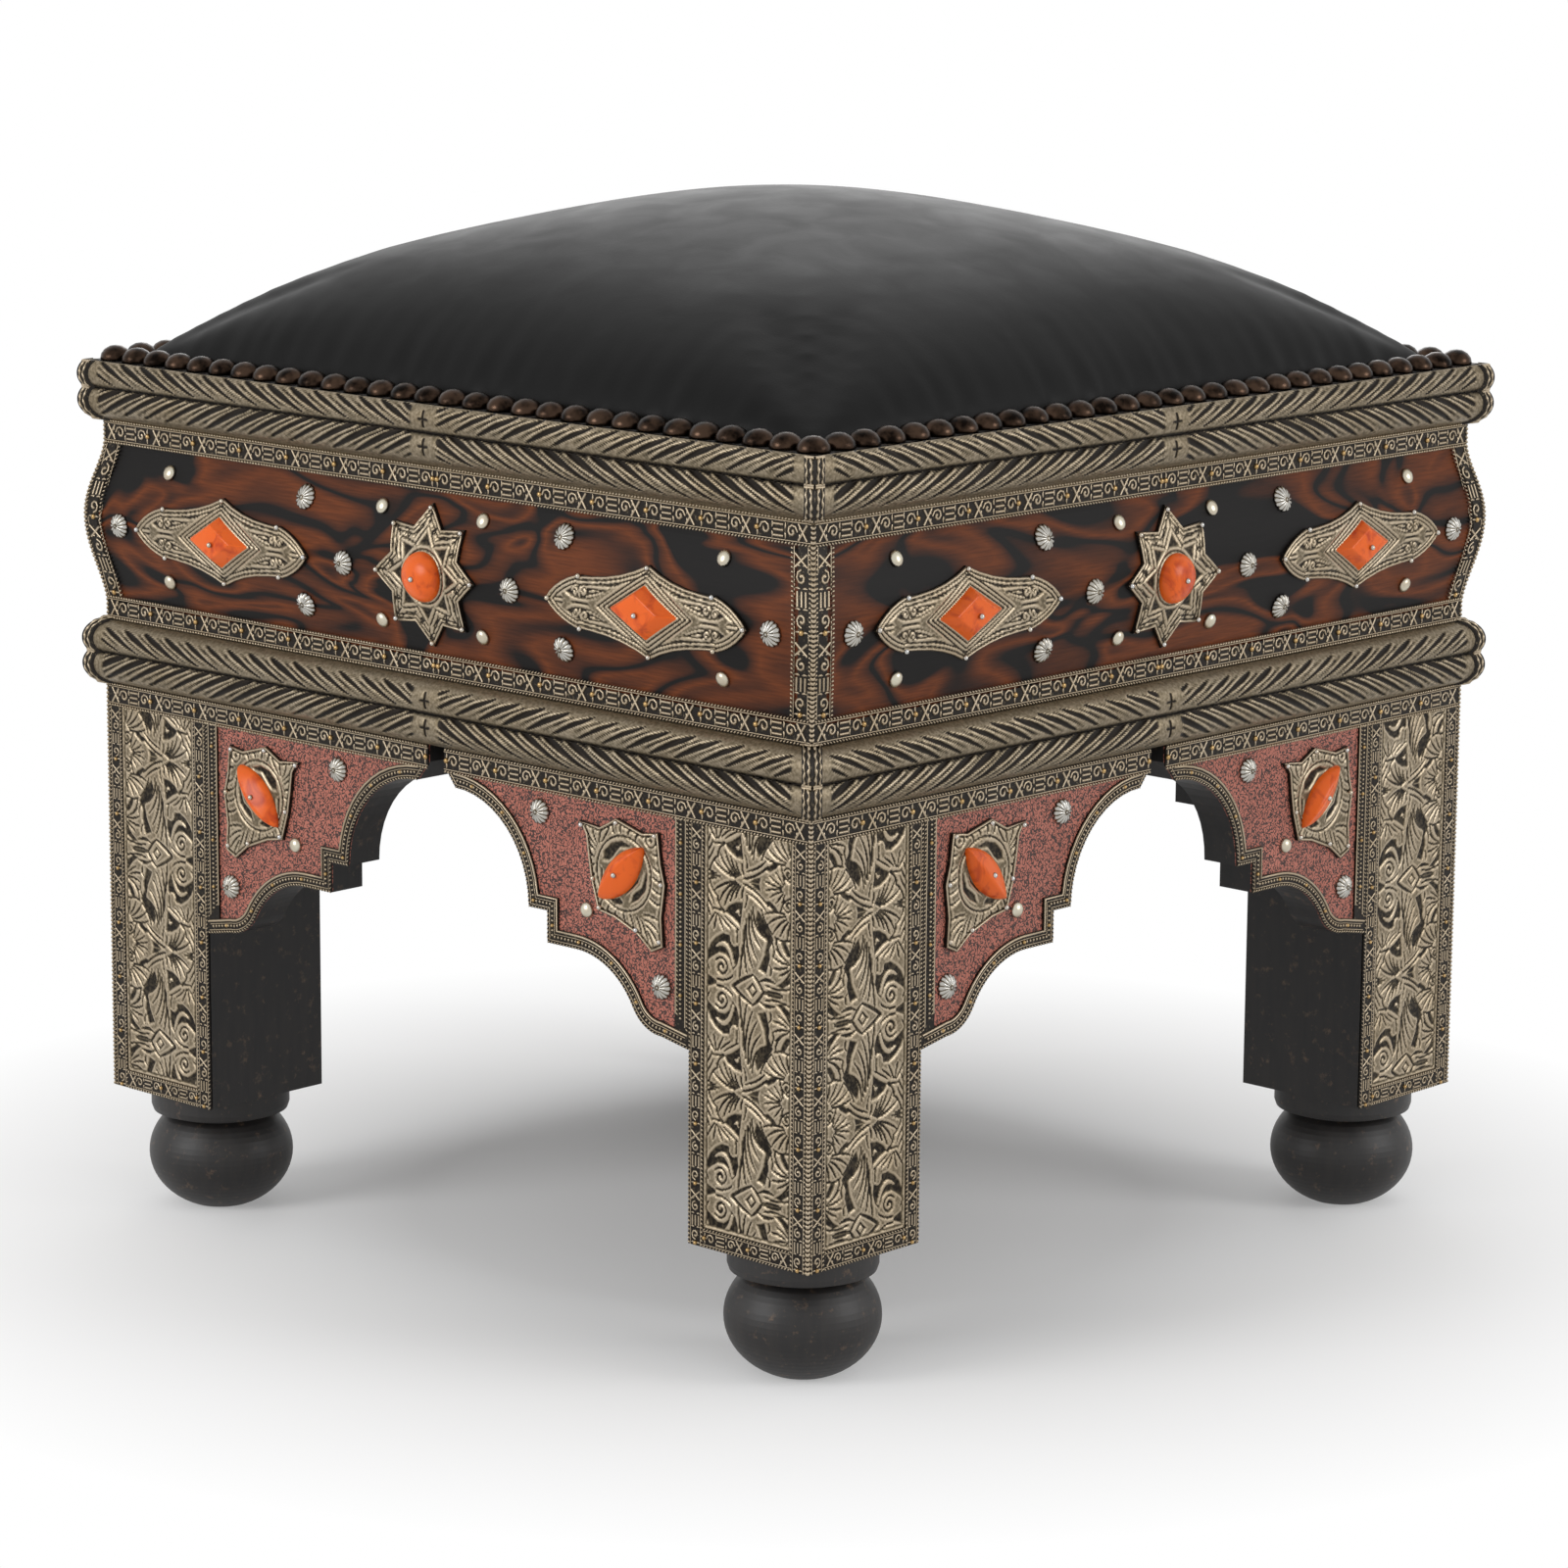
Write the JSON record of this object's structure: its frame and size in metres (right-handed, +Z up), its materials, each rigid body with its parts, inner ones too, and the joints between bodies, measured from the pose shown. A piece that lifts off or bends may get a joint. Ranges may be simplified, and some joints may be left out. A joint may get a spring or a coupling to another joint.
{
  "type": "upholstered footstool",
  "caption": "Square wooden footstool with arched brackets, embossed metal trim, coral stones and a domed leather seat on turned ball feet.",
  "frame": {"origin": "middle of the footprint, on the floor under the ball feet", "axes": "+Z up through the middle of the seat; the front faces -Y; all four sides are alike"},
  "size_m": [0.5444, 0.5444, 0.5471],
  "materials": {
    "black_wood": "black stain, worn, low sheen",
    "figured_wood": "polished, strong dark figure",
    "nickel_silver": "embossed, antiqued, raised parts rubbed bright",
    "red_lacquer": "matte red, stippled black",
    "coral": "polished",
    "leather": "smooth, soft sheen",
    "stuffing": "matte",
    "antique_bronze": "darkened, rubbed",
    "white_metal": "bright, slightly tarnished",
    "steel": "plain"
  },
  "bodies": {
    "root": {"leg_front_right": "black_wood", "leg_back_right": "black_wood", "leg_back_left": "black_wood", "leg_front_left": "black_wood", "foot_front_right": "black_wood", "foot_back_right": "black_wood", "foot_back_left": "black_wood", "foot_front_left": "black_wood", "rail_front": "black_wood", "rail_right": "black_wood", "rail_back": "black_wood", "rail_left": "black_wood", "apron_front": "figured_wood", "apron_right": "figured_wood", "apron_back": "figured_wood", "apron_left": "figured_wood", "bracket_front_left": "black_wood", "bracket_front_right": "black_wood", "bracket_right_front": "black_wood", "bracket_right_back": "black_wood", "bracket_back_right": "black_wood", "bracket_back_left": "black_wood", "bracket_left_back": "black_wood", "bracket_left_front": "black_wood", "lower_moulding_front": "black_wood", "lower_moulding_right": "black_wood", "lower_moulding_back": "black_wood", "lower_moulding_left": "black_wood", "upper_moulding_front": "black_wood", "upper_moulding_right": "black_wood", "upper_moulding_back": "black_wood", "upper_moulding_left": "black_wood", "cleat_front": "black_wood", "cleat_right": "black_wood", "cleat_back": "black_wood", "cleat_left": "black_wood", "seat_board": "black_wood", "seat_stuffing": "stuffing", "seat_leather": "leather", "lower_moulding_sheaths": "nickel_silver", "upper_moulding_sheaths": "nickel_silver", "mitre_straps": "nickel_silver", "frieze_strips": "nickel_silver", "skirt_strips": "nickel_silver", "leg_plates": "nickel_silver", "leg_frame_strips": "nickel_silver", "bracket_panels": "red_lacquer", "bracket_edge_strips": "nickel_silver", "bracket_stile_strips": "nickel_silver", "lozenge_plaques": "nickel_silver", "star_plaques": "nickel_silver", "scroll_plaques": "nickel_silver", "lozenge_stones": "coral", "round_stones": "coral", "oval_stones": "coral", "seat_nails": "antique_bronze", "fluted_nails": "white_metal", "plain_nails": "white_metal", "ball_pins": "white_metal", "cleat_screws": "steel"}
  },
  "joints": []
}
